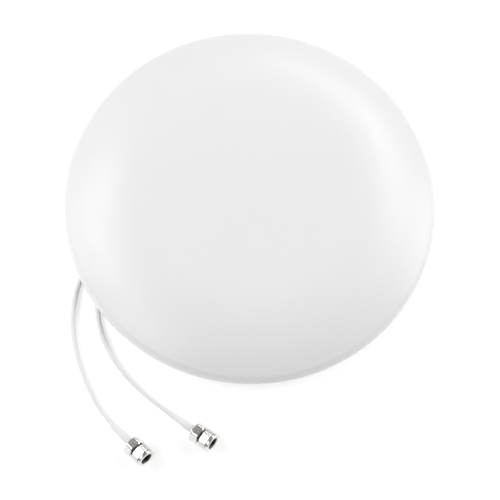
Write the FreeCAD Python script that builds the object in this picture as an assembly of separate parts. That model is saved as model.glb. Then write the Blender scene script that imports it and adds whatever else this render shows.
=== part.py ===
"""Two-port low-profile ceiling antenna of a cellular signal booster.

The antenna lies face up on its back. The origin is the centre of the mounting
plane, +Z points out of the dome, and the two pigtails leave on the -X side and
end in front of the dome (-Y). All sizes are in millimetres.
"""
import FreeCAD, Part
import math
import os

V = FreeCAD.Vector
Z_AXIS = V(0, 0, 1)

# ---- Driving dimensions -----------------------------------------------------
RADOME_D = 296.0            # widest diameter of the dome
HEIGHT = 36.0               # mounting plane to the top of the dome
RADOME_WALL = 2.5
WIDEST_Z = 8.0              # height of the widest line above the mounting plane
CROWN_R = 80.0              # edge of the nearly flat crown
CROWN_ANGLE = 2.0           # slope of the dome there, degrees
RIM_RADIUS = 8.0            # rolled edge above the widest line
SKIRT_RADIUS = 14.0         # rolled edge of the rim ring below the widest line
LIP_T = 1.5                 # locating lip of the rim ring inside the radome
LIP_GAP = 0.1
LIP_TOP_GAP = 0.8           # lip to the underside of the tray
LIP_ROOT = 1.2              # shelf that carries the lip

NOTCH_W = 16.0              # cable notches in the rim ring
NOTCH_H = 5.6
NOTCH_FILLET = 2.5
NOTCH_ANGLES = (208.0, 218.5)

TRAY_Z = 12.0               # underside of the base tray
TRAY_T = 2.5
TRAY_GAP = 1.0              # tray edge to the inside of the dome
RIB_T = 1.6
RIB_H = 2.4
RIB_COUNT = 12
RIB_TURN = 15.0             # keeps the ribs between the screws
RIB_START_R = 76.0
GASKET_T = 0.8
GASKET_W = 3.5
GASKET_EDGE_GAP = 0.1       # to the inside of the dome

POCKET_X = 60.0             # cable pocket, inside sizes
POCKET_Y = 34.0
POCKET_CENTRE_Y = 11.0
POCKET_WALL = 2.5
POCKET_ROOF_GAP = 1.0       # grommet flange to the pocket roof

CABLE_D = 4.14              # jacketed semi-flexible coax
GROMMET_BODY_D = 6.2
GROMMET_FLANGE_D = 7.6
GROMMET_FLANGE_T = 1.2
OUTLET_YS = (18.0, 5.0)     # left and right pigtail
OUTLET_LIFT = 0.2           # grommet flange above the tray

PLANE_D = 238.0             # ground plane
PLANE_T = 1.0
PLANE_POCKET_GAP = 4.0

RADIATOR_Y = 72.0
RADIATOR_D = 50.0
SHEET_T = 0.8
RADIATOR_ROOF_GAP = 2.0
SHORT_W = 8.0               # shorting legs and their feet
SHORT_FOOT = 9.0
SHORT_INSET = 0.4           # legs inside the plate's round edge
FEED_TIP_D = 3.0
FEED_TOP_D = 16.0
INSULATOR_X = 10.0
INSULATOR_Y = 12.0
INSULATOR_H = 5.0

SPACER_D = 6.0
SPACER_PIN_D = 3.0
SPACER_CAP_D = 4.4
SPACER_CAP_H = 0.9
SPACER_R = 18.0             # spacers from the radiator's centre

STRIP_START = 60.0          # isolation strips
STRIP_LENGTH = 50.0
STRIP_H = 8.0
STRIP_FOOT = 8.0

CLIP_T = 0.9
CLIP_W = 6.0
CLIP_EAR = 6.5
CLIP_XS = (38.0, 29.0)

SCREW_D = 2.9
SCREW_HEAD_D = 5.6
SCREW_HEAD_H = 1.8
SCREW_HOLE_GAP = 0.15       # clearance round a screw, on the radius
BOSS_D = 9.0
BOSS_COUNT = 6
BOSS_EDGE = 13.0            # boss circle inside the tray edge
BOSS_DEPTH = 4.5
JOIN = 0.2                  # how far bosses run into a wall they stand on
PLANE_SCREW_COUNT = 6
PLANE_SCREW_EDGE = 9.0

BRACKET_D = 140.0
BRACKET_T = 1.5
BRACKET_HOLE_D = 48.0
BRACKET_RAISE = 4.0         # underside of the raised middle
BRACKET_FLANGE = 12.0       # width of the flat outer flange
BRACKET_CONE = 5.0          # width of the sloping step
BRACKET_SCREW_D = 4.5
BRACKET_SCREW_PCD = 128.0
BRACKET_SCREW_COUNT = 4

STUD_PCD = 84.0
STUD_COUNT = 3
STUD_START = 75.0
STUD_SHANK_D = 5.0
STUD_HEAD_D = 9.5
STUD_HEAD_T = 2.0
STUD_SPACER_D = 12.0
STUD_CLEAR = 0.1            # along the stud, above and below the bracket
STUD_TIP_GAP = 0.5          # stud tip to the tray's upper face
SPACER_BORE_GAP = 0.1
SLOT_CLEAR = 0.3            # round the stud in its slot
ENTRY_CLEAR = 0.5           # round the stud head in its entry hole
TWIST = 20.0                # travel from locked to free, degrees

HEX_AF = 15.0
HEX_CORNER_D = 16.4
HEX_L = 6.9
RELIEF_D = 11.8
RELIEF_L = 1.7
THREAD_D = 15.9             # 5/8-24 UNEF
THREAD_PITCH = 25.4 / 24
THREAD_DEPTH = 0.55
THREAD_TURNS = 6
NECK_D = 12.8                # groove behind the front rim
NECK_L = 0.8
RING_L = 2.1
RING_CHAMFER = 0.5
FLAT_AF = 13.4
FLAT_TURN = 18.0            # milled flats against the hex's own flats
MOUTH_D = 8.46              # relief at the mouth
MOUTH_DEPTH = 4.2
SEAL_GROOVE_D = 9.2         # between the relief and the socket
SEAL_GROOVE_L = 0.6
MOUTH_CHAMFER = 0.9
SOCKET_D = 8.05             # bore for the mating plug's spring fingers
SOCKET_DEPTH = 9.0
INNER_BORE_D = 7.0
BACK_WALL = 2.0
CONTACT_D = 3.04
CONTACT_HOLE_D = 1.65
CONTACT_RECESS = 5.2
CONTACT_SLOT = 0.3
CONTACT_SLOT_L = 3.2
DIELECTRIC_RECESS = 0.4     # below the floor of the socket

FERRULE_D = 6.0
FERRULE_L = 9.5
FERRULE_STEP_D = 5.4
FERRULE_STEP_L = 4.0
BOOT_OVER_FERRULE = 7.5
BOOT_WALL = 0.35
CABLE_BEND_SHARE = 0.45     # of the shorter run beside a bend

# Pigtails: hand-set routes from the grommet to the point before the ferrule.
# The last run to the ferrule follows the connector's own axis.
LEFT_ROUTE = [
    (7.5, 18.0, 18.5), (-15.0, 17.8, 10.6), (-40.0, 14.6, 8.9), (-65.0, 6.6, 7.6),
    (-88.0, -8.0, 5.5), (-107.5, -27.5, 3.3), (-122.0, -51.0, 2.12), (-131.0, -77.0, 2.12),
    (-132.8, -104.0, 2.12), (-126.8, -131.0, 2.12), (-115.8, -157.0, 2.12)]
RIGHT_ROUTE = [
    (7.5, 5.0, 18.5), (-15.0, 4.8, 10.6), (-41.0, 3.0, 8.9), (-65.5, -4.6, 7.6),
    (-87.5, -19.5, 5.5), (-104.5, -42.0, 3.3), (-113.8, -68.5, 2.12), (-114.2, -96.5, 2.12),
    (-105.0, -124.2, 2.12), (-86.5, -147.7, 2.12)]
ROUTE_SPAN = 78.0           # bracket edge to rim for which the routes were set
ROUTE_CABLE_D = 4.14        # cable for which they were set
ROUTE_DROP = 0.12           # share of a thicker cable's growth it is lowered by
TABLE_GAP = 0.05            # cable to the table
# Connectors: centre of the hex's rear face, heading and pitch in degrees,
# straight run of cable behind the ferrule, and length of cable under the boot.
LEFT_END = dict(rear=(-77.3, -202.5, 7.45), heading=-43.0, pitch=9.5, run=22.8, boot=12.4,
                boot_tail_d=5.9)
RIGHT_END = dict(rear=(-29.3, -188.6, 7.48), heading=-33.0, pitch=8.0, run=29.0, boot=15.8,
                 boot_tail_d=4.9)

# ---- Sizes that follow from them --------------------------------------------
RADOME_R = RADOME_D / 2
TRAY_TOP = TRAY_Z + TRAY_T
PLANE_TOP = TRAY_TOP + PLANE_T
OUTLET_Z = TRAY_TOP + GROMMET_FLANGE_D / 2 + OUTLET_LIFT
POCKET_ROOF = OUTLET_Z + GROMMET_FLANGE_D / 2 + POCKET_ROOF_GAP
LEAD_Z = PLANE_TOP + CABLE_D / 2 + 0.13
BRACKET_TOP = BRACKET_RAISE + BRACKET_T
SPACER_Z = BRACKET_TOP + STUD_CLEAR
HEX_END = HEX_L
BARREL_START = HEX_L + RELIEF_L
BARREL_END = BARREL_START + THREAD_PITCH * THREAD_TURNS
RING_START = BARREL_END + NECK_L
CONNECTOR_L = RING_START + RING_L


# ---- Helpers ----------------------------------------------------------------
def polar(radius, degrees, z=0.0):
    angle = math.radians(degrees)
    return V(radius * math.cos(angle), radius * math.sin(angle), z)


def cylinder(diameter, z0, z1, at=V(0, 0, 0)):
    return Part.makeCylinder(diameter / 2, z1 - z0, V(at.x, at.y, z0), Z_AXIS)


def block(x0, x1, y0, y1, z0, z1):
    return Part.makeBox(x1 - x0, y1 - y0, z1 - z0, V(x0, y0, z0))


def ring(outer_d, inner_d, z0, z1, at=V(0, 0, 0)):
    return cylinder(outer_d, z0, z1, at).cut(cylinder(inner_d, z0 - 1, z1 + 1, at))


def turned(points):
    """Solid of revolution about Z from a closed outline of (radius, z) points."""
    outline = [V(r, 0, z) for r, z in points]
    wire = Part.makePolygon(outline + outline[:1])
    return Part.Face(wire).revolve(V(0, 0, 0), Z_AXIS, 360)


def fuse(shapes):
    return shapes[0].multiFuse(shapes[1:]).removeSplitter()


def cut(shape, tools):
    for tool in tools:
        shape = shape.cut(tool)
    return shape


def save(name, shape):
    solids = shape.Solids
    assert solids and shape.isValid(), name
    result = solids[0] if len(solids) == 1 else Part.makeCompound(solids)
    result.exportStep("parts/%s.step" % name)
    print("%-26s %2d solid(s) %10.1f mm3" % (name, len(solids), result.Volume))


# ---- Radome -----------------------------------------------------------------
def dome_rise(shoulder_angle):
    """Height of the dome above its widest line for one slope at the shoulder's foot."""
    steep, shallow = math.radians(shoulder_angle), math.radians(CROWN_ANGLE)
    foot_r = RADOME_R - RIM_RADIUS * (1 - math.sin(steep))
    shoulder = (foot_r - CROWN_R) / (math.sin(steep) - math.sin(shallow))
    crown = CROWN_R / math.sin(shallow)
    return (RIM_RADIUS * math.cos(steep) + shoulder * (math.cos(shallow) - math.cos(steep))
            + crown * (1 - math.cos(shallow)))


def solve_shoulder_angle():
    low, high = CROWN_ANGLE + 0.5, 80.0
    for _ in range(60):
        middle = (low + high) / 2
        if dome_rise(middle) < HEIGHT - WIDEST_Z:
            low = middle
        else:
            high = middle
    return middle


SHOULDER_ANGLE = solve_shoulder_angle()


def dome_arcs(inset):
    """Centre, radius and end slopes of the four tangent arcs, moved inwards by inset."""
    steep, shallow = math.radians(SHOULDER_ANGLE), math.radians(CROWN_ANGLE)
    rim_r = RADOME_R - RIM_RADIUS
    foot_r, foot_z = rim_r + RIM_RADIUS * math.sin(steep), WIDEST_Z + RIM_RADIUS * math.cos(steep)
    shoulder = (foot_r - CROWN_R) / (math.sin(steep) - math.sin(shallow))
    shoulder_c = (foot_r - shoulder * math.sin(steep), foot_z - shoulder * math.cos(steep))
    crown = CROWN_R / math.sin(shallow)
    crown_c = (0.0, HEIGHT - crown)
    skirt_c = (RADOME_R - SKIRT_RADIUS, WIDEST_Z)
    skirt_end = math.pi / 2 + math.asin(WIDEST_Z / (SKIRT_RADIUS - inset))
    return [(skirt_c, SKIRT_RADIUS - inset, skirt_end, math.pi / 2),
            ((rim_r, WIDEST_Z), RIM_RADIUS - inset, math.pi / 2, steep),
            (shoulder_c, shoulder - inset, steep, shallow),
            (crown_c, crown - inset, shallow, 0.0)]


def dome_solid(inset):
    """The dome as a filled solid, bounded by the mounting plane."""
    edges = []
    for (cr, cz), radius, start, end in dome_arcs(inset):
        points = [V(cr + radius * math.sin(a), 0, cz + radius * math.cos(a))
                  for a in (start, (start + end) / 2, end)]
        edges.append(Part.Arc(*points).toShape())
    foot, top = edges[0].Vertexes[0].Point, edges[-1].Vertexes[-1].Point
    edges.append(Part.makeLine(top, V(0, 0, 0)))
    edges.append(Part.makeLine(V(0, 0, 0), foot))
    face = Part.Face(Part.Wire(Part.__sortEdges__(edges)))
    return face.revolve(V(0, 0, 0), Z_AXIS, 360)


def inner_radius_at(z):
    """Inside radius of the dome at a height above its widest line."""
    for (cr, cz), arc_r, start, end in dome_arcs(RADOME_WALL)[1:]:
        if cz + arc_r * math.cos(end) >= z:
            return cr + math.sqrt(arc_r ** 2 - (z - cz) ** 2)
    raise ValueError("height %.1f is above the dome" % z)


def roof_z(radius):
    """Height of the dome's inside face at a radius."""
    for (cr, cz), arc_r, start, end in dome_arcs(RADOME_WALL)[1:]:
        if cr + arc_r * math.sin(end) <= radius:
            return cz + math.sqrt(arc_r ** 2 - (radius - cr) ** 2)
    return HEIGHT - RADOME_WALL


TRAY_R = inner_radius_at(TRAY_TOP) - TRAY_GAP
BOSS_PLACES = [polar(TRAY_R - BOSS_EDGE, 30 + k * 360 / BOSS_COUNT) for k in range(BOSS_COUNT)]
GASKET_OUTER_D = 2 * min(TRAY_R - 0.5, inner_radius_at(TRAY_TOP + GASKET_T) - GASKET_EDGE_GAP)
STUD_PLACES = [polar(STUD_PCD / 2, STUD_START + k * 360 / STUD_COUNT) for k in range(STUD_COUNT)]


def make_radome():
    shell = dome_solid(0.0).cut(dome_solid(RADOME_WALL))
    seat = ring(GASKET_OUTER_D, GASKET_OUTER_D - 2 * GASKET_W, TRAY_TOP + GASKET_T, HEIGHT)
    bosses = [cylinder(BOSS_D, TRAY_TOP, HEIGHT, at) for at in BOSS_PLACES]
    root = dome_solid(RADOME_WALL - JOIN)
    joined = [piece.common(root) for piece in [seat] + bosses]
    body = fuse([shell] + joined).cut(cylinder(2 * RADOME_D, -1, WIDEST_Z))
    pilots = [cylinder(SCREW_D, TRAY_TOP - 1, TRAY_TOP + BOSS_DEPTH, at) for at in BOSS_PLACES]
    return cut(body, pilots)


def make_rim_ring():
    """Turned-in skirt below the radome, with a lip inside it and two cable notches."""
    above = cylinder(2 * RADOME_D, WIDEST_Z, 2 * HEIGHT)
    skirt = dome_solid(0.0).cut(dome_solid(RADOME_WALL)).cut(above)
    lip_top = TRAY_Z - LIP_TOP_GAP
    lip_r = inner_radius_at(lip_top) - LIP_GAP
    lip = ring(2 * lip_r, 2 * (lip_r - LIP_T), WIDEST_Z - JOIN, lip_top)
    shelf = ring(2 * RADOME_R, 2 * (lip_r - LIP_T), WIDEST_Z - LIP_ROOT, WIDEST_Z)
    shelf = shelf.common(dome_solid(RADOME_WALL - JOIN))
    body = fuse([skirt, shelf, lip])
    notches = []
    for angle in NOTCH_ANGLES:
        slot = block(RADOME_R - 15, RADOME_R + 5, -NOTCH_W / 2, NOTCH_W / 2, -1, NOTCH_H)
        edges = [e for e in slot.Edges
                 if abs(e.BoundBox.ZMin - NOTCH_H) < 1e-6 and e.BoundBox.XLength > 10]
        slot = slot.makeFillet(NOTCH_FILLET, edges)
        slot.rotate(V(0, 0, 0), Z_AXIS, angle)
        notches.append(slot)
    return cut(body, notches)


# ---- Base tray --------------------------------------------------------------
def pocket_block(grow, z0, z1):
    half_x, half_y = POCKET_X / 2 + grow, POCKET_Y / 2 + grow
    box = block(-half_x, half_x, POCKET_CENTRE_Y - half_y, POCKET_CENTRE_Y + half_y, z0, z1)
    uprights = [e for e in box.Edges if e.BoundBox.ZLength > z1 - z0 - 0.1]
    return box.makeFillet(4.0 + grow, uprights)


def make_tray():
    disc = cylinder(2 * TRAY_R, TRAY_Z, TRAY_TOP)
    well = pocket_block(POCKET_WALL, TRAY_Z, POCKET_ROOF + POCKET_WALL)
    ribs = []
    for k in range(RIB_COUNT):
        rib = block(RIB_START_R, TRAY_R - 2, -RIB_T / 2, RIB_T / 2, TRAY_Z - RIB_H, TRAY_Z + 0.1)
        rib.rotate(V(0, 0, 0), Z_AXIS, RIB_TURN + k * 360 / RIB_COUNT)
        ribs.append(rib)
    hoop = ring(2 * RIB_START_R + 2 * RIB_T, 2 * RIB_START_R, TRAY_Z - RIB_H, TRAY_Z + 0.1)
    body = fuse([disc, well, hoop] + ribs)
    tools = [pocket_block(0.0, TRAY_Z - RIB_H - 1, POCKET_ROOF)]
    tools += [grommet_hole(y) for y in OUTLET_YS]
    tools += [cylinder(SCREW_D + 2 * SCREW_HOLE_GAP, TRAY_Z - 1, TRAY_TOP + 1, at) for at in BOSS_PLACES]
    tools += [cylinder(STUD_SHANK_D, TRAY_Z - 1, TRAY_TOP - STUD_TIP_GAP, at) for at in STUD_PLACES]
    tools += [cylinder(SCREW_D, TRAY_Z + 0.5, TRAY_TOP + 1, at) for at in inner_screw_places()]
    return cut(body, tools)


def grommet_hole(y):
    start = V(POCKET_X / 2 - 1, y, OUTLET_Z)
    return Part.makeCylinder(GROMMET_BODY_D / 2, POCKET_WALL + 2, start, V(1, 0, 0))


def make_gasket():
    return ring(GASKET_OUTER_D, GASKET_OUTER_D - 2 * GASKET_W, TRAY_TOP, TRAY_TOP + GASKET_T)


def make_grommet(y):
    """Flanged rubber grommet in the pocket's +X wall, round one cable."""
    def along_x(diameter, x0, x1):
        return Part.makeCylinder(diameter / 2, x1 - x0, V(x0, y, OUTLET_Z), V(1, 0, 0))
    inside, outside = POCKET_X / 2, POCKET_X / 2 + POCKET_WALL
    body = fuse([along_x(GROMMET_BODY_D, inside, outside),
                 along_x(GROMMET_FLANGE_D, inside - GROMMET_FLANGE_T, inside),
                 along_x(GROMMET_FLANGE_D, outside, outside + GROMMET_FLANGE_T)])
    return body.cut(along_x(CABLE_D, inside - 5, outside + 5))


# ---- Screws -----------------------------------------------------------------
def pan_screw(at, seat_z, tip_z):
    """Pan-head screw: the head rests on seat_z and the tip points to tip_z."""
    down = -1 if tip_z < seat_z else 1
    direction = V(0, 0, down)
    shank = Part.makeCylinder(SCREW_D / 2, abs(tip_z - seat_z), V(at.x, at.y, seat_z), direction)
    head = Part.makeCylinder(SCREW_HEAD_D / 2, SCREW_HEAD_H, V(at.x, at.y, seat_z), -direction)
    rim = [e for e in head.Edges if abs(e.BoundBox.Center.z - (seat_z - down * SCREW_HEAD_H)) < 1e-6]
    head = head.makeFillet(0.6, rim)
    arm = SCREW_HEAD_D * 0.3
    top = seat_z - down * SCREW_HEAD_H
    z0, z1 = sorted((top + down * 0.9, top - down * 1.0))
    cross = [block(-arm, arm, -0.35, 0.35, z0, z1), block(-0.35, 0.35, -arm, arm, z0, z1)]
    for bar in cross:
        bar.translate(V(at.x, at.y, 0))
    return cut(shank.fuse(head).removeSplitter(), cross)


def plane_screw_places():
    radius = PLANE_D / 2 - PLANE_SCREW_EDGE
    return [polar(radius, 45 + k * 360 / PLANE_SCREW_COUNT) for k in range(PLANE_SCREW_COUNT)]


def foot_screw_places(side):
    """One screw in the foot of each shorting leg."""
    reach = RADIATOR_D / 2 + SHORT_FOOT / 2
    return [V(0, side * RADIATOR_Y + s * reach, 0) for s in (-1, 1)]


def clip_places():
    return [V(CLIP_XS[0], RADIATOR_Y, 0), V(CLIP_XS[1], -RADIATOR_Y, 0)]


def clip_screw_places():
    reach = CABLE_D / 2 + CLIP_T + CLIP_EAR / 2
    return [at + V(0, s * reach, 0) for at in clip_places() for s in (-1, 1)]


def strip_screw_places():
    return [V(s * (STRIP_START + STRIP_LENGTH * share), STRIP_FOOT / 2 + SHEET_T / 2, 0)
            for s in (-1, 1) for share in (0.2, 0.8)]


def inner_screw_places():
    return (plane_screw_places() + foot_screw_places(1) + foot_screw_places(-1)
            + clip_screw_places() + strip_screw_places())


def screw_holes(places):
    return [cylinder(SCREW_D + 2 * SCREW_HOLE_GAP, TRAY_TOP - 1, HEIGHT, at) for at in places]


def screw_set(places, seat_z):
    return Part.makeCompound([pan_screw(at, seat_z, TRAY_Z + 0.5) for at in places])


# ---- Ground plane and radiators ---------------------------------------------
def make_ground_plane():
    plate = cylinder(PLANE_D, TRAY_TOP, PLANE_TOP)
    window = pocket_block(POCKET_WALL + PLANE_POCKET_GAP, TRAY_TOP - 1, PLANE_TOP + 1)
    return cut(plate, [window] + screw_holes(inner_screw_places()))


def radiator_top_z():
    """Upper face of a radiator: a gap below the dome at the plate's outer edge."""
    return roof_z(RADIATOR_Y + RADIATOR_D / 2) - RADIATOR_ROOF_GAP - SPACER_CAP_H


def spacer_places(side):
    return [V(0, side * RADIATOR_Y, 0) + polar(SPACER_R, 45 + 90 * k) for k in range(4)]


def make_radiator(side):
    """Stamped plate with a feed cone in its middle and two shorting legs."""
    top = radiator_top_z()
    centre = V(0, side * RADIATOR_Y, 0)
    tip_z = PLANE_TOP + INSULATOR_H
    plate = cylinder(RADIATOR_D, top - SHEET_T, top, centre)
    cone = Part.makeCone(FEED_TIP_D / 2, FEED_TOP_D / 2, top - tip_z, V(0, centre.y, tip_z), Z_AXIS)
    pin = cylinder(FEED_TIP_D, PLANE_TOP + 1.0, tip_z, centre)
    legs = []
    for s in (-1, 1):
        outside = s * (RADIATOR_D / 2 - SHORT_INSET)
        y0, y1 = sorted((centre.y + outside, centre.y + outside - s * SHEET_T))
        legs.append(block(-SHORT_W / 2, SHORT_W / 2, y0, y1, PLANE_TOP, top))
        f0, f1 = sorted((centre.y + outside - s * SHEET_T, centre.y + s * (RADIATOR_D / 2 + SHORT_FOOT)))
        legs.append(block(-SHORT_W / 2, SHORT_W / 2, f0, f1, PLANE_TOP, PLANE_TOP + SHEET_T))
    body = fuse([plate, cone, pin] + legs)
    holes = [cylinder(SPACER_PIN_D + 0.2, top - 2, top + 1, at) for at in spacer_places(side)]
    return cut(body, holes + screw_holes(foot_screw_places(side)))


def make_insulator(side):
    """PTFE block that holds the feed pin off the ground plane."""
    y = side * RADIATOR_Y
    body = block(-INSULATOR_X / 2, INSULATOR_X / 2, y - INSULATOR_Y / 2, y + INSULATOR_Y / 2,
                 PLANE_TOP, PLANE_TOP + INSULATOR_H)
    uprights = [e for e in body.Edges if e.BoundBox.ZLength > INSULATOR_H - 0.1]
    body = body.makeFillet(1.5, uprights)
    return body.cut(cylinder(FEED_TIP_D, PLANE_TOP + 1.0, PLANE_TOP + INSULATOR_H + 1, V(0, y, 0)))


def make_spacers(side):
    top = radiator_top_z()
    posts = []
    for at in spacer_places(side):
        post = fuse([cylinder(SPACER_D, PLANE_TOP, top - SHEET_T, at),
                     cylinder(SPACER_PIN_D, top - SHEET_T, top, at),
                     cylinder(SPACER_CAP_D, top, top + SPACER_CAP_H, at)])
        posts.append(post)
    return Part.makeCompound(posts)


def make_isolation_strip(side):
    """Bent aluminium angle between the two radiators."""
    x0, x1 = sorted((side * STRIP_START, side * (STRIP_START + STRIP_LENGTH)))
    wall = block(x0, x1, -SHEET_T / 2, SHEET_T / 2, PLANE_TOP, PLANE_TOP + STRIP_H)
    foot = block(x0, x1, -SHEET_T / 2, SHEET_T / 2 + STRIP_FOOT, PLANE_TOP, PLANE_TOP + SHEET_T)
    return cut(fuse([wall, foot]), screw_holes(strip_screw_places()))


# ---- Cables -----------------------------------------------------------------
def route_wire(points, label):
    """Straight runs joined by tangent arcs; prints the smallest radius."""
    points = [V(*p) for p in points]
    edges, radii, last = [], [], points[0]
    for before, here, after in zip(points, points[1:], points[2:]):
        run_in, run_out = here - before, after - here
        half_turn = run_in.getAngle(run_out) / 2
        reach = CABLE_BEND_SHARE * min(run_in.Length, run_out.Length)
        radii.append(reach / math.tan(half_turn))
        start = here - V(run_in).normalize() * reach
        end = here + V(run_out).normalize() * reach
        inward = (V(run_out).normalize() - V(run_in).normalize()).normalize()
        middle = here + inward * (radii[-1] / math.cos(half_turn) - radii[-1])
        edges.append(Part.LineSegment(last, start).toShape())
        edges.append(Part.Arc(start, middle, end).toShape())
        last = end
    edges.append(Part.LineSegment(last, points[-1]).toShape())
    wire = Part.Wire(edges)
    print("%-26s length %6.1f mm, radii %s" % (label, wire.Length, [round(r, 1) for r in radii]))
    return wire


def cable(points, label):
    wire = route_wire(points, label)
    start, heading = V(*points[0]), V(*points[1]) - V(*points[0])
    section = Part.Wire(Part.makeCircle(CABLE_D / 2, start, heading))
    tube = wire.makePipeShell([section], True, False)
    expected = math.pi * CABLE_D ** 2 / 4 * wire.Length
    print("%-26s volume %.1f of %.1f mm3" % (label, tube.Volume, expected))
    return tube


def grommet_face(index):
    return (POCKET_X / 2 - GROMMET_FLANGE_T, OUTLET_YS[index], OUTLET_Z)


def axis_of(end):
    heading, pitch = math.radians(end["heading"]), math.radians(end["pitch"])
    return V(math.cos(pitch) * math.cos(heading), math.cos(pitch) * math.sin(heading), math.sin(pitch))


def spread(x, y):
    """Stretch a hand-set place outside the bracket to suit the radome's size."""
    reach, edge = math.hypot(x, y), BRACKET_D / 2
    if reach <= edge:
        return x, y
    share = (edge + (reach - edge) * (RADOME_R - edge) / ROUTE_SPAN) / reach
    return x * share, y * share


def settled(point):
    """Set a route point level with its outlet, under the tray or on the table."""
    x, y = spread(point[0], point[1])
    if point[2] > TRAY_TOP:
        return x, y, OUTLET_Z
    return x, y, max(CABLE_D / 2 + TABLE_GAP, point[2] - (CABLE_D - ROUTE_CABLE_D) * ROUTE_DROP)


def rear_of(end):
    x, y = spread(end["rear"][0], end["rear"][1])
    return V(x, y, end["rear"][2])


def along_axis(end, distance):
    return rear_of(end) + axis_of(end) * distance


def pigtail_points(index, route, end):
    tail = [tuple(along_axis(end, -FERRULE_L - end["run"])), tuple(along_axis(end, -FERRULE_L))]
    return [grommet_face(index)] + [settled(point) for point in route] + tail


def make_inner_lead(index):
    """Coax from the back of a grommet to its feed insulator."""
    side = (1, -1)[index]
    y0, y1 = OUTLET_YS[index], side * RADIATOR_Y
    back = POCKET_X / 2 + POCKET_WALL + GROMMET_FLANGE_T
    straight = (58.0, 52.0)[index]
    bulge = abs(y1 - y0) / 2 / math.tan(math.radians(60))
    points = [(back, y0, OUTLET_Z), (straight, y0, OUTLET_Z), (straight + bulge, (y0 + y1) / 2, LEAD_Z),
              (straight, y1, LEAD_Z), (INSULATOR_X / 2, y1, LEAD_Z)]
    return cable(points, "inner lead")


def make_clips():
    """Saddle clips that hold the inner leads on the ground plane."""
    clips = []
    for at in clip_places():
        outer, inner = CABLE_D / 2 + 0.1 + CLIP_T, CABLE_D / 2 + 0.1
        x0 = at.x - CLIP_W / 2
        half = Part.makeCylinder(outer, CLIP_W, V(x0, at.y, LEAD_Z), V(1, 0, 0))
        legs = block(x0, x0 + CLIP_W, at.y - outer, at.y + outer, PLANE_TOP, LEAD_Z)
        reach = outer + CLIP_EAR
        ears = block(x0, x0 + CLIP_W, at.y - reach, at.y + reach, PLANE_TOP, PLANE_TOP + CLIP_T)
        body = fuse([half, legs, ears])
        tunnel = [Part.makeCylinder(inner, CLIP_W + 2, V(x0 - 1, at.y, LEAD_Z), V(1, 0, 0)),
                  block(x0 - 1, x0 + CLIP_W + 1, at.y - inner, at.y + inner, PLANE_TOP - 1, LEAD_Z)]
        below = block(x0 - 1, x0 + CLIP_W + 1, at.y - 20, at.y + 20, PLANE_TOP - 5, PLANE_TOP)
        clips.append(cut(body, tunnel + [below] + screw_holes(clip_screw_places())))
    return Part.makeCompound(clips)


# ---- Connectors -------------------------------------------------------------
def placed(shape, end):
    """Move a shape built along +Z from the hex's rear face to a pigtail's end."""
    shape = shape.copy()
    tip = FreeCAD.Rotation(V(0, 1, 0), 90 - end["pitch"])
    swing = FreeCAD.Rotation(V(0, 0, 1), end["heading"])
    shape.Placement = FreeCAD.Placement(rear_of(end), swing.multiply(tip))
    return shape


def hex_collar():
    corners = [polar(HEX_AF / math.sqrt(3), 30 + 60 * k) for k in range(7)]
    prism = Part.Face(Part.makePolygon(corners)).extrude(V(0, 0, HEX_L))
    crop_r, bevel = HEX_CORNER_D / 2, 0.6
    crop = turned([(0, 0), (crop_r - bevel, 0), (crop_r, bevel), (crop_r, HEX_L - bevel),
                   (crop_r - bevel, HEX_L), (0, HEX_L)])
    return prism.common(crop)


def threaded_barrel():
    """Barrel with evenly spaced thread ridges, milled flat on two sides."""
    crest, root = THREAD_D / 2, THREAD_D / 2 - THREAD_DEPTH
    outline = [(0, BARREL_START), (root, BARREL_START)]
    for k in range(THREAD_TURNS):
        z = BARREL_START + THREAD_PITCH * k
        outline += [(root, z + 0.12), (crest, z + 0.46), (crest, z + 0.60), (root, z + 0.94)]
    outline += [(root, BARREL_END), (0, BARREL_END)]
    flats = block(-FLAT_AF / 2, FLAT_AF / 2, -THREAD_D, THREAD_D, BARREL_START - 1, BARREL_END + 1)
    flats.rotate(V(0, 0, 0), Z_AXIS, FLAT_TURN)
    return turned(outline).common(flats)


def make_connector_body(end):
    front, neck_r, ring_r = CONNECTOR_L, NECK_D / 2, THREAD_D / 2
    pieces = [
        hex_collar(),
        turned([(0, HEX_END), (RELIEF_D / 2, HEX_END), (RELIEF_D / 2, BARREL_START), (0, BARREL_START)]),
        threaded_barrel(),
        turned([(0, BARREL_END), (neck_r, BARREL_END), (neck_r, RING_START), (0, RING_START)]),
        turned([(0, RING_START), (ring_r, RING_START), (ring_r, front - RING_CHAMFER),
                (ring_r - RING_CHAMFER, front), (0, front)])]
    body = fuse(pieces)
    mouth_r, socket_r, inner_r = MOUTH_D / 2, SOCKET_D / 2, INNER_BORE_D / 2
    step, groove_r = front - MOUTH_DEPTH, SEAL_GROOVE_D / 2
    hollow = turned([(0, BACK_WALL), (inner_r, BACK_WALL), (inner_r, front - SOCKET_DEPTH),
                     (socket_r, front - SOCKET_DEPTH), (socket_r, step - SEAL_GROOVE_L),
                     (groove_r, step - SEAL_GROOVE_L), (groove_r, step),
                     (mouth_r, step), (mouth_r, front - MOUTH_CHAMFER),
                     (mouth_r + MOUTH_CHAMFER, front), (mouth_r + MOUTH_CHAMFER, front + 1), (0, front + 1)])
    return placed(body.cut(hollow), end)


def make_dielectric(end):
    top = CONNECTOR_L - SOCKET_DEPTH - DIELECTRIC_RECESS
    return placed(ring(INNER_BORE_D, CONTACT_D, BACK_WALL, top), end)


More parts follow.
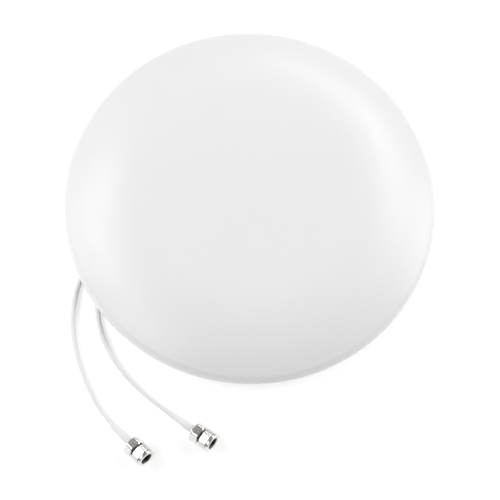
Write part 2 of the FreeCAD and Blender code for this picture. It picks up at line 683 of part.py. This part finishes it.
def make_centre_contact(end):
    """Slotted female contact."""
    tip = CONNECTOR_L - CONTACT_RECESS
    body = cylinder(CONTACT_D, BACK_WALL, tip)
    body = body.makeChamfer(0.25, [e for e in body.Edges if abs(e.BoundBox.ZMin - tip) < 1e-6])
    hole = cylinder(CONTACT_HOLE_D, tip - 5, tip + 1)
    slots = [block(-5, 5, -CONTACT_SLOT / 2, CONTACT_SLOT / 2, tip - CONTACT_SLOT_L, tip + 1),
             block(-CONTACT_SLOT / 2, CONTACT_SLOT / 2, -5, 5, tip - CONTACT_SLOT_L, tip + 1)]
    return placed(cut(body, [hole] + slots), end)


def make_ferrule(end):
    """Crimp ferrule: a wider rear barrel and a slimmer neck against the hex."""
    wide, slim = FERRULE_D / 2, FERRULE_STEP_D / 2
    return placed(turned([(0, -FERRULE_L), (wide, -FERRULE_L), (wide, -FERRULE_STEP_L),
                          (slim, -FERRULE_STEP_L + 0.3), (slim, 0), (0, 0)]), end)


def make_boot(end):
    """Heat-shrink sleeve over the start of the cable and the ferrule, necked at its step."""
    front, back = -FERRULE_L + BOOT_OVER_FERRULE, -FERRULE_L - end["boot"]
    outer, inner = FERRULE_D / 2 + BOOT_WALL, FERRULE_D / 2
    tail, neck = end["boot_tail_d"] / 2, FERRULE_STEP_D / 2
    return placed(turned([(CABLE_D / 2, back), (tail - 0.2, back), (tail, back + 0.3),
                          (outer, -FERRULE_L - 1.0), (outer, -FERRULE_STEP_L),
                          (neck + BOOT_WALL, -FERRULE_STEP_L + 0.3), (neck + BOOT_WALL, front),
                          (neck, front), (neck, -FERRULE_STEP_L + 0.3), (inner, -FERRULE_STEP_L),
                          (inner, -FERRULE_L), (CABLE_D / 2, -FERRULE_L)]), end)


# ---- Mounting bracket -------------------------------------------------------
def make_bracket():
    """Dished twist-lock plate with three arc keyholes."""
    outer, hole = BRACKET_D / 2, BRACKET_HOLE_D / 2
    flange = outer - BRACKET_FLANGE
    plateau = flange - BRACKET_CONE
    plate = turned([(hole, BRACKET_RAISE), (plateau, BRACKET_RAISE), (flange, 0), (outer, 0),
                    (outer, BRACKET_T), (flange + 0.6, BRACKET_T), (plateau + 0.6, BRACKET_TOP),
                    (hole, BRACKET_TOP)])
    tools = [cylinder(BRACKET_SCREW_D, -1, BRACKET_TOP + 1,
                      polar(BRACKET_SCREW_PCD / 2, 45 + k * 360 / BRACKET_SCREW_COUNT))
             for k in range(BRACKET_SCREW_COUNT)]
    slot_w, pcr = STUD_SHANK_D + 2 * SLOT_CLEAR, STUD_PCD / 2
    for k in range(STUD_COUNT):
        locked = STUD_START + k * 360 / STUD_COUNT
        band = ring(2 * pcr + slot_w, 2 * pcr - slot_w, -1, BRACKET_TOP + 1)
        sector = Part.makeCylinder(BRACKET_D, BRACKET_TOP + 2, V(0, 0, -1), Z_AXIS, TWIST)
        sector.rotate(V(0, 0, 0), Z_AXIS, locked - TWIST)
        tools.append(band.common(sector))
        tools.append(cylinder(slot_w, -1, BRACKET_TOP + 1, polar(pcr, locked)))
        entry_d = STUD_HEAD_D + 2 * ENTRY_CLEAR
        tools.append(cylinder(entry_d, -1, BRACKET_TOP + 1, polar(pcr, locked - TWIST)))
    return cut(plate, tools)


def make_studs():
    studs = []
    head_top = BRACKET_RAISE - STUD_CLEAR
    for at in STUD_PLACES:
        head = cylinder(STUD_HEAD_D, head_top - STUD_HEAD_T, head_top, at)
        rim = [e for e in head.Edges if abs(e.BoundBox.ZMax - (head_top - STUD_HEAD_T)) < 1e-6]
        shank = cylinder(STUD_SHANK_D, head_top, TRAY_TOP - STUD_TIP_GAP, at)
        studs.append(fuse([head.makeFillet(0.8, rim), shank]))
    return Part.makeCompound(studs)


def make_stud_spacers():
    """Sleeves round the studs that keep the tray off the bracket."""
    bore = STUD_SHANK_D + 2 * SPACER_BORE_GAP
    return Part.makeCompound([ring(STUD_SPACER_D, bore, SPACER_Z, TRAY_Z, at) for at in STUD_PLACES])


# ---- Build ------------------------------------------------------------------
def main():
    os.makedirs("parts", exist_ok=True)
    print("shoulder angle %.2f degrees" % SHOULDER_ANGLE)
    save("radome", make_radome())
    save("rim_ring", make_rim_ring())
    save("base_tray", make_tray())
    save("rim_gasket", make_gasket())
    save("radome_screws", Part.makeCompound([pan_screw(at, TRAY_Z, TRAY_TOP + BOSS_DEPTH - 0.3)
                                             for at in BOSS_PLACES]))
    save("ground_plane", make_ground_plane())
    save("ground_plane_screws", screw_set(plane_screw_places(), PLANE_TOP))
    save("isolation_strip_left", make_isolation_strip(-1))
    save("isolation_strip_right", make_isolation_strip(1))
    save("isolation_strip_screws", screw_set(strip_screw_places(), PLANE_TOP + SHEET_T))
    for name, side in (("rear", 1), ("front", -1)):
        save("radiator_" + name, make_radiator(side))
        save("radiator_spacers_" + name, make_spacers(side))
        save("feed_insulator_" + name, make_insulator(side))
    save("radiator_screws", screw_set(foot_screw_places(1) + foot_screw_places(-1), PLANE_TOP + SHEET_T))
    save("lead_clips", make_clips())
    save("lead_clip_screws", screw_set(clip_screw_places(), PLANE_TOP + CLIP_T))
    save("mounting_bracket", make_bracket())
    save("shoulder_studs", make_studs())
    save("stud_spacers", make_stud_spacers())
    for index, (name, route, end) in enumerate((("left", LEFT_ROUTE, LEFT_END),
                                                ("right", RIGHT_ROUTE, RIGHT_END))):
        save("outlet_grommet_" + name, make_grommet(OUTLET_YS[index]))
        save("inner_lead_" + name, make_inner_lead(index))
        save("pigtail_" + name, cable(pigtail_points(index, route, end), "pigtail_" + name))
        save("heat_shrink_boot_" + name, make_boot(end))
        save("crimp_ferrule_" + name, make_ferrule(end))
        save("connector_body_" + name, make_connector_body(end))
        save("connector_dielectric_" + name, make_dielectric(end))
        save("centre_contact_" + name, make_centre_contact(end))


main()
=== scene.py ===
"""Looks of a two-port ceiling antenna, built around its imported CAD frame."""
import math

import bmesh
import bpy
from mathutils import Matrix, Vector


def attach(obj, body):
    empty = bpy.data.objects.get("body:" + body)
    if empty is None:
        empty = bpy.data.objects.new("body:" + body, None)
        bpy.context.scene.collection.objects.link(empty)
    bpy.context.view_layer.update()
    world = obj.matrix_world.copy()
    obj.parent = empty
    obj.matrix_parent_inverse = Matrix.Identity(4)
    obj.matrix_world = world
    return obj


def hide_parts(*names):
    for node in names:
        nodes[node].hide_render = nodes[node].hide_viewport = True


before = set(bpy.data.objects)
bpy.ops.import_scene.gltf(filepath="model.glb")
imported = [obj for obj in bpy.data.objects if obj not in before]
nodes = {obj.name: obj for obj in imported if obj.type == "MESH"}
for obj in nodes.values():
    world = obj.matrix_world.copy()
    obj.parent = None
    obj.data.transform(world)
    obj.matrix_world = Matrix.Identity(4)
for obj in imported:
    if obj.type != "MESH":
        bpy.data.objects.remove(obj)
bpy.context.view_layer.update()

# ---- Sizes shared with the CAD source, in metres ----------------------------
MM = 0.001
CABLE_D = 4.14 * MM
LEFT_ROUTE = [
    (28.8, 18.0, 18.5), (7.5, 18.0, 18.5), (-15.0, 17.8, 10.6), (-40.0, 14.6, 8.9),
    (-65.0, 6.6, 7.6), (-88.0, -8.0, 5.5), (-107.5, -27.5, 3.3), (-122.0, -51.0, 2.12),
    (-131.0, -77.0, 2.12), (-132.8, -104.0, 2.12), (-126.8, -131.0, 2.12), (-115.8, -157.0, 2.12)]
RIGHT_ROUTE = [
    (28.8, 5.0, 18.5), (7.5, 5.0, 18.5), (-15.0, 4.8, 10.6), (-41.0, 3.0, 8.9),
    (-65.5, -4.6, 7.6), (-87.5, -19.5, 5.5), (-104.5, -42.0, 3.3), (-113.8, -68.5, 2.12),
    (-114.2, -96.5, 2.12), (-105.0, -124.2, 2.12), (-86.5, -147.7, 2.12)]
# Each end: route and rear (centre of the hex's rear face) in millimetres,
# heading and pitch in degrees, straight cable behind the ferrule in millimetres,
# cord length in metres, where the sleeve's waves start, and the sleeve's outline
# as (radius, distance) from its tail to its lip over the ferrule.
ENDS = {
    "left": dict(route=LEFT_ROUTE, rear=(-77.3, -202.5, 7.45), heading=-43.0, pitch=9.5,
                 run=22.8, length=0.339, wave_start=4.0,
                 sleeve=[(2.62, -21.9), (2.86, -21.75), (2.95, -21.4), (2.93, -19.0), (2.96, -16.0),
                         (2.92, -13.5), (3.0, -11.6), (3.22, -10.4), (3.33, -9.2), (3.33, -4.4),
                         (3.2, -3.9), (3.06, -3.4), (3.04, -2.3), (2.95, -2.05)]),
    "right": dict(route=RIGHT_ROUTE, rear=(-29.3, -188.6, 7.48), heading=-33.0, pitch=8.0,
                  run=29.0, length=0.326, wave_start=5.0,
                  sleeve=[(2.2, -25.3), (2.36, -25.15), (2.44, -24.7), (2.45, -22.5), (2.5, -19.5),
                          (2.62, -16.5), (2.84, -13.5), (3.12, -11.0), (3.32, -9.3), (3.34, -4.4),
                          (3.2, -3.9), (3.06, -3.4), (3.04, -2.3), (2.95, -2.05)])}
FERRULE_L = 9.5
FERRULE_R, FERRULE_NECK_R, FERRULE_NECK_L = 3.0, 2.7, 4.0
FERRULE_STEP_L = 0.3        # slope between the ferrule's neck and its body
SLEEVE_LIP = -2.0           # front of the sleeve, measured from the hex
SLEEVE_LIP_WALL = 0.1
SLEEVE_WAVE = 0.03          # how far the sleeve is out of round

# Connector, in millimetres along its axis from the hex's rear face.
HEX_AF, HEX_CORNER_R, HEX_L = 15.0, 8.2, 6.9
HEX_CHAMFER_L, HEX_CHAMFER_SLOPE, HEX_EDGE_BREAK, HEX_BLEND = 0.6, 0.9, 0.12, 0.14
HEX_INSET, THREAD_INSET = 0.04, 0.01        # keep the looks just inside the CAD solids
RELIEF_R, RELIEF_L = 5.9, 1.7
THREAD_R, THREAD_DEPTH, THREAD_PITCH, THREAD_TURNS = 7.95, 0.55, 25.4 / 24, 6
THREAD_FLANK_SLOPE, THREAD_ROOT_SHARE = 3.1, 0.30
RUNOUT_LEAD, RUNOUT_RATE = 0.02, 2.2        # in turns, and rise per turn
THREAD_STEPS_PER_TURN = 14
THREAD_START = HEX_L + RELIEF_L
THREAD_END = THREAD_START + THREAD_PITCH * THREAD_TURNS
FLAT_AF, FLAT_TURN, FLAT_BLEND = 13.4, 18.0, 0.05
NECK_R, NECK_L = 6.4, 0.8
RING_START, RING_L, RING_EDGE_BREAK = THREAD_END + NECK_L, 2.1, 0.12
FRONT = RING_START + RING_L
MOUTH_R, MOUTH_DEPTH, SOCKET_R, SOCKET_DEPTH = 4.23, 4.2, 4.025, 9.0
SEAL_GROOVE_R, SEAL_GROOVE_L = 4.6, 0.6
BORE_R, BACK_WALL = 3.5, 2.0
# Broken edges at the front: (inwards from the ring's outside, back from the
# front) and (outwards from the mouth's wall, back from the front).
NOSE_EDGE = [(0.0, 0.55), (0.06, 0.42), (0.42, 0.06), (0.55, 0.0)]
MOUTH_EDGE = [(0.98, 0.0), (0.88, 0.04), (0.04, 0.86), (0.0, 0.96)]
HEX_EDGE_MARKS = [0.0, 0.04, 0.12, 0.25, 0.4, 0.55, 0.7]
HEX_MIDDLE_MARKS = [2.0, 3.5, 5.0]


# ---- Camera -----------------------------------------------------------------
CAMERA_AT = Vector((0.0, -0.6806, 1.8820))
CAMERA_AIM = Vector((0.0029, -0.0394, 0.0120))
CAMERA_ROLL = math.radians(-4.55)
LENS_MM, SENSOR_MM = 180.0, 36.0


def add_camera():
    back = (CAMERA_AT - CAMERA_AIM).normalized()
    right = Vector((0, 0, 1)).cross(back).normalized()
    up = back.cross(right)
    tilted_right = right * math.cos(CAMERA_ROLL) - up * math.sin(CAMERA_ROLL)
    tilted_up = right * math.sin(CAMERA_ROLL) + up * math.cos(CAMERA_ROLL)
    data = bpy.data.cameras.new("photo_view")
    data.lens = LENS_MM
    data.sensor_width = SENSOR_MM
    camera = bpy.data.objects.new("photo_view", data)
    bpy.context.collection.objects.link(camera)
    axes = Matrix((tilted_right, tilted_up, back)).transposed().to_4x4()
    camera.matrix_world = Matrix.Translation(CAMERA_AT) @ axes
    bpy.context.scene.camera = camera


# ---- Cords ------------------------------------------------------------------
def end_axis(end):
    heading, pitch = math.radians(end["heading"]), math.radians(end["pitch"])
    return Vector((math.cos(pitch) * math.cos(heading), math.cos(pitch) * math.sin(heading),
                   math.sin(pitch)))


def along_end(end, distance_mm):
    return (Vector(end["rear"]) + end_axis(end) * distance_mm) * MM


def pigtail_points(end):
    route = [Vector(p) * MM for p in end["route"]]
    return route + [along_end(end, -FERRULE_L - end["run"]), along_end(end, -FERRULE_L)]


def add_pigtail(side, end, material):
    data = bpy.data.curves.new("pigtail_" + side, "CURVE")
    data.dimensions = "3D"
    data.bevel_depth = CABLE_D / 2
    data.bevel_resolution = 8
    data.resolution_u = 16
    data.use_fill_caps = True
    points = pigtail_points(end)
    spline = data.splines.new("NURBS")
    spline.points.add(len(points) - 1)
    for place, point in zip(spline.points, points):
        place.co = (*point, 1.0)
    spline.order_u = 3
    spline.use_endpoint_u = True
    data.materials.append(material)
    cord = bpy.data.objects.new("pigtail_cable_" + side, data)
    bpy.context.collection.objects.link(cord)
    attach(cord, "antenna")
    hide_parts("pigtail_" + side)


# ---- Connectors and sleeves -------------------------------------------------
def soft_min(a, b, width):
    """Smaller of two values, rounded over where they meet."""
    share = max(width - abs(a - b), 0.0) / width
    return min(a, b) - share * share * width * 0.25


def flat_radius(angle, across, turn, sides):
    """Distance from the axis to the flats of a regular prism."""
    step = 2 * math.pi / sides
    offset = (angle - math.radians(turn) + step / 2) % step - step / 2
    return across / 2 / max(math.cos(offset), 0.02)     # two flats never close at the sides


def hex_radius(angle, z):
    """Hex with turned corners and a chamfer at each end."""
    from_end = min(z, HEX_L - z)
    corner = HEX_CORNER_R - max(0.0, HEX_CHAMFER_L - from_end) * HEX_CHAMFER_SLOPE
    flat = flat_radius(angle, HEX_AF - HEX_INSET, 0.0, 6) - max(0.0, HEX_EDGE_BREAK - from_end)
    return soft_min(flat, corner, HEX_BLEND)


def thread_radius(angle, z):
    """Helical thread that runs out at both ends and is milled flat on two sides."""
    along = (z - THREAD_START) / THREAD_PITCH
    phase = (along - angle / (2 * math.pi)) % 1.0
    rise = (0.5 - abs(phase - 0.5)) * THREAD_FLANK_SLOPE - THREAD_ROOT_SHARE
    rise = min(max(rise, 0.0), 1.0)
    runout = min(1.0, max(0.0, along + RUNOUT_LEAD) * RUNOUT_RATE,
                 max(0.0, THREAD_TURNS - along + RUNOUT_LEAD) * RUNOUT_RATE)
    crest = THREAD_R - THREAD_INSET - THREAD_DEPTH * (1.0 - rise * runout)
    return soft_min(crest, flat_radius(angle, FLAT_AF, FLAT_TURN, 2), FLAT_BLEND)


def connector_stations():
    """Outline from the rear face, round the front, into the mouth, and its spans of painted shade.

    The outline is (radius or shape, distance) pairs; the spans are those of both
    grooves and of everything from the mouth's chamfer inwards, where a dark look paints the shade
    of these recesses."""
    stations = [(hex_radius, z) for z in HEX_EDGE_MARKS + HEX_MIDDLE_MARKS]
    stations += [(hex_radius, HEX_L - z) for z in reversed(HEX_EDGE_MARKS)]
    # Spans painted dark as shade: the relief groove's floor here, then the neck groove's floor and
    # the mouth.
    dark = {len(stations)}
    stations += [(RELIEF_R, HEX_L), (RELIEF_R, THREAD_START)]
    steps = THREAD_TURNS * THREAD_STEPS_PER_TURN
    stations += [(thread_radius, THREAD_START + (THREAD_END - THREAD_START) * k / steps)
                 for k in range(steps + 1)]
    dark.add(len(stations))
    stations += [(NECK_R, THREAD_END), (NECK_R, RING_START)]
    ring_r = THREAD_R - THREAD_INSET
    groove_end = FRONT - MOUTH_DEPTH - SEAL_GROOVE_L
    stations += [(ring_r - RING_EDGE_BREAK, RING_START), (ring_r, RING_START + RING_EDGE_BREAK)]
    stations += [(ring_r - inwards, FRONT - back) for inwards, back in NOSE_EDGE]
    mouth = len(stations) + 1
    stations += [(MOUTH_R + outwards, FRONT - back) for outwards, back in MOUTH_EDGE]
    stations += [(MOUTH_R, FRONT - MOUTH_DEPTH), (SEAL_GROOVE_R, FRONT - MOUTH_DEPTH),
                 (SEAL_GROOVE_R, groove_end), (SOCKET_R, groove_end),
                 (SOCKET_R, FRONT - SOCKET_DEPTH), (BORE_R, FRONT - SOCKET_DEPTH),
                 (BORE_R, BACK_WALL)]
    return stations, dark | set(range(mouth, len(stations)))


def axis_matrix(end):
    turn = Matrix.Rotation(math.radians(end["heading"]), 4, "Z")
    tip = Matrix.Rotation(math.radians(90 - end["pitch"]), 4, "Y")
    return Matrix.Translation(Vector(end["rear"]) * MM) @ turn @ tip


def turned_piece(name, stations, end, looks, closed=False, steps=180, dark=()):
    """Solid turned round one connector's axis; a station's radius may be a shape.

    The spans listed in dark take the second look, which is painted shade."""
    form = bmesh.new()
    place = axis_matrix(end)
    rings = []
    for radius, z in stations:
        ring = []
        for k in range(steps):
            angle = 2 * math.pi * k / steps
            r = radius(angle, z) if callable(radius) else radius
            spot = Vector((r * math.cos(angle), r * math.sin(angle), z)) * MM
            ring.append(form.verts.new(place @ spot))
        rings.append(ring)
    pairs = list(zip(rings, rings[1:] + rings[:1] if closed else rings[1:]))
    for span, (first, second) in enumerate(pairs):
        for k in range(steps):
            after = (k + 1) % steps
            face = form.faces.new((first[k], first[after], second[after], second[k]))
            face.material_index = int(span in dark)
    if not closed:
        form.faces.new(list(reversed(rings[0])))
        form.faces.new(rings[-1])
    bmesh.ops.recalc_face_normals(form, faces=form.faces)
    data = bpy.data.meshes.new(name)
    form.to_mesh(data)
    form.free()
    data.shade_smooth()
    data.set_sharp_from_angle(angle=math.radians(38))
    for look in looks:
        data.materials.append(look)
    piece = bpy.data.objects.new(name, data)
    bpy.context.collection.objects.link(piece)
    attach(piece, "antenna")
    return piece


def wavy(radius, amount, phase):
    """Slightly out-of-round sleeve radius."""
    def shape(angle, z):
        wave = math.sin(2 * angle + phase + z * 0.35) + 0.6 * math.sin(3 * angle - z * 0.8)
        return radius + amount * wave
    return shape


def add_connector(side, end, nickel, painted_shade_look, sleeve_look):
    """Jack and shrink sleeve of one pigtail.

    Returns everything that rides on the cord's end."""
    stations, dark = connector_stations()
    # The grooves and mouth take painted shade: a dark metal look where these recesses fall into
    # shade.
    jack = turned_piece("threaded_jack_" + side, stations, end, [nickel, painted_shade_look], dark=dark)
    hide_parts("connector_body_" + side)
    outside = [(wavy(r, SLEEVE_WAVE, end["wave_start"]), z) for r, z in end["sleeve"]]
    tail_z = end["sleeve"][0][1]
    cable_r = CABLE_D / 2 / MM
    inside = [(FERRULE_NECK_R + SLEEVE_LIP_WALL, SLEEVE_LIP), (FERRULE_NECK_R, SLEEVE_LIP),
              (FERRULE_NECK_R, -FERRULE_NECK_L + FERRULE_STEP_L), (FERRULE_R, -FERRULE_NECK_L),
              (FERRULE_R, -FERRULE_L), (cable_r, -FERRULE_L), (cable_r, tail_z)]
    sleeve = turned_piece("shrink_sleeve_" + side, outside + inside, end, [sleeve_look],
                          closed=True, steps=72)
    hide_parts("heat_shrink_boot_" + side)
    return [jack, sleeve] + [nodes[name + side] for name in (
        "crimp_ferrule_", "connector_dielectric_", "centre_contact_")]


# ---- Materials --------------------------------------------------------------
class Shader:
    """A principled material with helpers for procedural detail."""

    def __init__(self, name, colour, roughness, metallic=0.0, **sockets):
        self.material = bpy.data.materials.new(name)
        self.material.use_nodes = True
        self.tree = self.material.node_tree
        self.bsdf = self.tree.nodes["Principled BSDF"]
        self.bsdf.inputs["Base Color"].default_value = (*colour, 1.0)
        self.bsdf.inputs["Roughness"].default_value = roughness
        self.bsdf.inputs["Metallic"].default_value = metallic
        for socket, value in sockets.items():
            self.bsdf.inputs[socket.replace("_", " ")].default_value = value
        self.place = self.node("ShaderNodeTexCoord").outputs["Object"]

    def node(self, kind, **settings):
        made = self.tree.nodes.new(kind)
        for name, value in settings.items():
            setattr(made, name, value)
        return made

    def link(self, source, target):
        self.tree.links.new(source, target)

    def stretched(self, scale):
        """Object coordinates in millimetres, scaled on each axis."""
        mapping = self.node("ShaderNodeMapping")
        mapping.inputs["Scale"].default_value = [s / MM for s in scale]
        self.link(self.place, mapping.inputs["Vector"])
        return mapping.outputs["Vector"]

    def noise(self, scale, detail=4.0, roughness=0.55):
        made = self.node("ShaderNodeTexNoise")
        made.inputs["Scale"].default_value = 1.0
        made.inputs["Detail"].default_value = detail
        made.inputs["Roughness"].default_value = roughness
        self.link(self.stretched(scale), made.inputs["Vector"])
        return made.outputs["Fac"]

    def ranged(self, value, low, high, source=(0.3, 0.7)):
        made = self.node("ShaderNodeMapRange")
        made.inputs["From Min"].default_value, made.inputs["From Max"].default_value = source
        made.inputs["To Min"].default_value, made.inputs["To Max"].default_value = low, high
        self.link(value, made.inputs["Value"])
        return made.outputs["Result"]

    def rough(self, value, low, high):
        self.link(self.ranged(value, low, high), self.bsdf.inputs["Roughness"])

    def colours(self, value, dark, light):
        ramp = self.node("ShaderNodeValToRGB")
        ramp.color_ramp.elements[0].position = 0.3
        ramp.color_ramp.elements[1].position = 0.7
        ramp.color_ramp.elements[0].color = (*dark, 1.0)
        ramp.color_ramp.elements[1].color = (*light, 1.0)
        self.link(value, ramp.inputs["Fac"])
        self.link(ramp.outputs["Color"], self.bsdf.inputs["Base Color"])

    def bump(self, *layers):
        """Bump from (height, depth in metres) pairs."""
        normal = None
        for height, depth in layers:
            made = self.node("ShaderNodeBump")
            made.inputs["Strength"].default_value = 1.0
            made.inputs["Distance"].default_value = depth
            self.link(height, made.inputs["Height"])
            if normal is not None:
                self.link(normal, made.inputs["Normal"])
            normal = made.outputs["Normal"]
        self.link(normal, self.bsdf.inputs["Normal"])


def moulded(name, light, dark, roughness, grain=0.5, depth=0.004):
    """Moulded plastic: faint shade drift, fine eroded grain."""
    shader = Shader(name, light, roughness, Specular_IOR_Level=0.5)
    shader.colours(shader.noise((0.012,) * 3, 3.0), dark, light)
    shader.rough(shader.noise((0.06,) * 3, 5.0), roughness - 0.04, roughness + 0.05)
    shader.bump((shader.noise((grain,) * 3, 6.0, 0.7), depth * MM))
    return shader.material


def sheet_metal(name, light, dark, roughness, brush=(0.02, 2.4, 0.02), depth=0.004):
    """Rolled sheet with fine lines along X."""
    shader = Shader(name, light, roughness, 1.0)
    shader.colours(shader.noise((0.05,) * 3, 4.0), dark, light)
    lines = shader.noise(brush, 3.0, 0.6)
    shader.rough(lines, roughness - 0.07, roughness + 0.1)
    shader.bump((lines, depth * MM))
    return shader.material


def galvanised(name):
    """Zinc spangle: flat crystals that differ in shade and gloss."""
    shader = Shader(name, (0.72, 0.73, 0.74), 0.38, 1.0)
    cells = shader.node("ShaderNodeTexVoronoi")
    cells.inputs["Scale"].default_value = 1.0
    shader.link(shader.stretched((0.28,) * 3), cells.inputs["Vector"])
    grey = shader.node("ShaderNodeRGBToBW")
    shader.link(cells.outputs["Color"], grey.inputs["Color"])
    shader.colours(grey.outputs["Val"], (0.60, 0.61, 0.63), (0.80, 0.81, 0.82))
    shader.rough(grey.outputs["Val"], 0.28, 0.48)
    shader.bump((shader.noise((0.6,) * 3, 5.0), 0.006 * MM))
    return shader.material


def turned_metal(name, light, dark, roughness, end, depth=0.0016):
    """Plated turned metal: fine tool lines round one connector's axis."""
    shader = Shader(name, light, roughness, 1.0)
    shader.colours(shader.noise((0.25,) * 3, 4.0), dark, light)
    dot = shader.node("ShaderNodeVectorMath", operation="DOT_PRODUCT")
    shader.link(shader.place, dot.inputs[0])
    dot.inputs[1].default_value = end_axis(end)
    lines = shader.node("ShaderNodeTexNoise", noise_dimensions="1D")
    lines.inputs["Scale"].default_value = 9.0 / MM
    lines.inputs["Detail"].default_value = 2.0
    shader.link(dot.outputs["Value"], lines.inputs["W"])
    shader.rough(shader.noise((0.5,) * 3, 4.0), roughness - 0.04, roughness + 0.07)
    shader.bump((lines.outputs["Fac"], depth * MM))
    return shader.material


def paint(node, material):
    data = nodes[node].data
    for index in range(len(data.materials)):
        data.materials[index] = material


def paint_nodes():
    dome = moulded("dome_satin_plastic", (0.818, 0.818, 0.818), (0.805, 0.805, 0.805), 0.34,
                   0.9, 0.0025)
    tray = moulded("tray_matt_plastic", (0.76, 0.76, 0.75), (0.73, 0.73, 0.72), 0.55, 0.7, 0.012)
    nylon = moulded("natural_nylon", (0.74, 0.70, 0.61), (0.70, 0.66, 0.56), 0.45)
    ptfe = moulded("white_ptfe", (0.85, 0.85, 0.83), (0.80, 0.80, 0.78), 0.5)
    foam = moulded("black_seal", (0.035, 0.035, 0.036), (0.022, 0.022, 0.023), 0.8, 1.2, 0.03)
    grommet = moulded("grey_rubber", (0.36, 0.36, 0.35), (0.31, 0.31, 0.30), 0.7, 0.9, 0.01)
    jacket = moulded("inner_jacket", (0.78, 0.78, 0.77), (0.75, 0.75, 0.74), 0.4, 0.9, 0.004)
    aluminium = sheet_metal("mill_aluminium", (0.80, 0.81, 0.82), (0.74, 0.75, 0.77), 0.32)
    brass = sheet_metal("stamped_brass", (0.72, 0.53, 0.25), (0.64, 0.45, 0.20), 0.30)
    steel = sheet_metal("zinc_screws", (0.70, 0.70, 0.71), (0.58, 0.59, 0.61), 0.30,
                        (0.9, 0.9, 0.9), 0.006)
    zinc = galvanised("galvanised_sheet")
    looks = {
        dome: ["radome", "rim_ring"], tray: ["base_tray"], foam: ["rim_gasket"],
        zinc: ["mounting_bracket"],
        nylon: ["radiator_spacers_rear", "radiator_spacers_front", "stud_spacers"],
        ptfe: ["feed_insulator_rear", "feed_insulator_front", "connector_dielectric_left",
               "connector_dielectric_right"],
        grommet: ["outlet_grommet_left", "outlet_grommet_right"],
        jacket: ["inner_lead_left", "inner_lead_right"],
        aluminium: ["ground_plane", "isolation_strip_left", "isolation_strip_right"],
        brass: ["radiator_rear", "radiator_front"],
        steel: ["radome_screws", "ground_plane_screws", "isolation_strip_screws", "radiator_screws",
                "lead_clips", "lead_clip_screws", "shoulder_studs"]}
    for material, names in looks.items():
        for name in names:
            paint(name, material)


def add_cord_ends():
    """Both pigtails with the pieces on their ends."""
    jacket = moulded("pigtail_jacket", (0.79, 0.79, 0.79), (0.76, 0.76, 0.76), 0.35, 0.6, 0.004)
    sleeve = moulded("shrink_sleeve_white", (0.80, 0.80, 0.795), (0.77, 0.77, 0.76), 0.42,
                     0.5, 0.01)
    for side, end in ENDS.items():
        nickel = turned_metal("nickel_" + side, (0.82, 0.81, 0.80), (0.74, 0.73, 0.72), 0.23, end)
        # Dark turned metal used as painted shade in the jack's grooves and mouth.
        painted_shade_nickel = turned_metal("bore_" + side, (0.115, 0.10, 0.09), (0.08, 0.07, 0.06), 0.42, end)
        gold = turned_metal("contact_" + side, (0.83, 0.63, 0.30), (0.74, 0.54, 0.24), 0.22, end)
        paint("crimp_ferrule_" + side, nickel)
        paint("centre_contact_" + side, gold)
        on_cord = add_connector(side, end, nickel, painted_shade_nickel, sleeve)
        add_pigtail(side, end, jacket)


# ---- Stage ------------------------------------------------------------------
# Name, position and size in metres, power in watts and, for strips, their direction.
SOFTBOXES = [
    ("left", (-1.5, 0.25, 1.5), (1.4, 0.8), 17.6),
    ("right", (1.5, 0.7, 1.5), (1.6, 1.0), 8.4),
    ("front_left", (-1.2, -1.1, 1.6), (1.0, 1.0), 10.6),
    ("low_left", (-1.9, 0.1, 0.7), (1.2, 0.8), 6.0),
    ("low_right", (1.9, 0.3, 0.7), (1.2, 0.8), 14.0),
    ("rear_strip", (0.68, 2.37, 1.5), (1.36, 0.3), 9.0, (0.7, -0.58, 0.0)),
    ("right_strip", (1.3, 1.2, 1.5), (1.5, 0.3), 8.1, (0.06, -0.98, 0.0))]
WORLD_STRENGTH = 0.26
FLOOR_HALF, FLOOR_Z = 3.0, -0.0002      # the floor lies just under the table plane
FLOOR_GREY, FLOOR_GLOW = 0.62, 0.5


def add_floor():
    data = bpy.data.meshes.new("floor")
    form = bmesh.new()
    bmesh.ops.create_grid(form, x_segments=1, y_segments=1, size=FLOOR_HALF)
    form.to_mesh(data)
    form.free()
    floor = bpy.data.objects.new("floor", data)
    bpy.context.collection.objects.link(floor)
    floor.location.z = FLOOR_Z
    shader = Shader("floor_white", (FLOOR_GREY,) * 3, 0.9)
    shader.bsdf.inputs["Specular IOR Level"].default_value = 0.0
    shader.bsdf.inputs["Emission Color"].default_value = (1.0, 1.0, 1.0, 1.0)
    shader.bsdf.inputs["Emission Strength"].default_value = FLOOR_GLOW
    data.materials.append(shader.material)


def add_area_light(name, place, size, power, along=None):
    """Softbox that faces the origin; its first side lies level, or in the direction given."""
    data = bpy.data.lights.new(name, "AREA")
    data.shape = "RECTANGLE"
    data.size, data.size_y = size
    data.energy = power
    light = bpy.data.objects.new(name, data)
    bpy.context.collection.objects.link(light)
    back = Vector(place).normalized()
    side = Vector(along) if along else Vector((0, 0, 1)).cross(back)
    side = (side - back * side.dot(back)).normalized()
    axes = Matrix((side, back.cross(side), back)).transposed().to_4x4()
    light.matrix_world = Matrix.Translation(Vector(place)) @ axes


def add_lights():
    world = bpy.data.worlds.new("studio")
    bpy.context.scene.world = world
    world.use_nodes = True
    sky = world.node_tree.nodes["Background"]
    sky.inputs["Color"].default_value = (1.0, 1.0, 1.0, 1.0)
    sky.inputs["Strength"].default_value = WORLD_STRENGTH
    for softbox in SOFTBOXES:
        add_area_light(*softbox)


# ---- Build ------------------------------------------------------------------
def main():
    add_camera()
    paint_nodes()
    add_cord_ends()
    add_floor()
    add_lights()
    bpy.context.scene.view_settings.view_transform = "Standard"


main()
